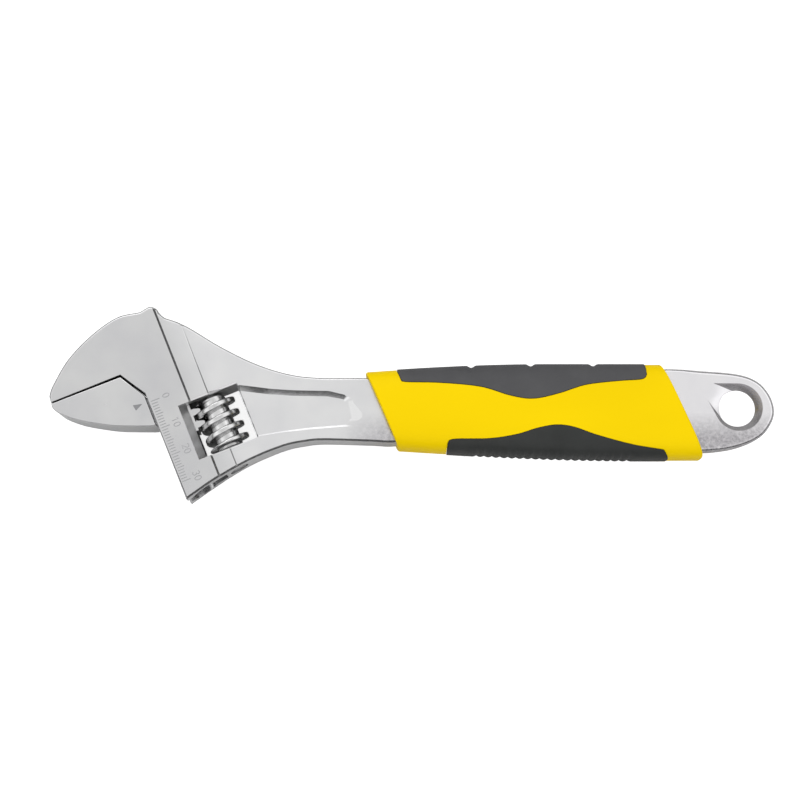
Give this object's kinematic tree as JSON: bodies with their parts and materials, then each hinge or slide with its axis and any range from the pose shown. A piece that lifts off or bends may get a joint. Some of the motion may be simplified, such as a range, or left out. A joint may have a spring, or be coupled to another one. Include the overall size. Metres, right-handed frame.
{
  "type": "adjustable wrench",
  "caption": "Adjustable wrench with a sliding lower jaw moved by a knurled worm screw, a forged chrome body with a hanging hole, and a two-component yellow and dark grey grip.",
  "frame": {"origin": "centre of the wrench's bounding box in X and Y, on the surface that it lies on", "axes": "+X along the handle from the jaws to the hanging hole, +Y across the handle towards the fixed jaw's back, +Z through the thickness"},
  "size_m": [0.2501, 0.0674, 0.019],
  "materials": {
    "forged_chrome": "satin chrome plating",
    "jaw_chrome": "satin chrome plating",
    "screw_steel": "turned, lightly plated",
    "pin_steel": "turned",
    "spring_steel": "drawn wire",
    "yellow_grip": "moulded polypropylene, satin",
    "dark_grey_soft": "moulded thermoplastic rubber, matte",
    "dark_ribbed_soft": "moulded thermoplastic rubber, matte"
  },
  "bodies": {
    "handle": {"wrench_body": "forged_chrome", "worm_pin": "pin_steel", "worm_spring": "spring_steel", "grip_core": "yellow_grip", "grip_pad_upper": "dark_grey_soft", "grip_pad_lower": "dark_ribbed_soft"},
    "jaw": {"movable_jaw": "jaw_chrome"},
    "worm": {"worm_screw": "screw_steel"}
  },
  "joints": [
    {"name": "jaw_slide", "type": "slide", "parent": "handle", "child": "jaw", "axis": [0.3827, -0.9239, 0], "range_m": [0, 0.03]},
    {"name": "worm_spin", "type": "hinge", "parent": "handle", "child": "worm", "pos_m": [-0.06653, -0.00634, 0.00949], "axis": [-0.3827, 0.9239, 0], "range_deg": [-1, 2401]}
  ],
  "couplings": [
    {"joint": "worm_spin", "follows": "jaw_slide", "rad_per_m": 1396.3}
  ]
}
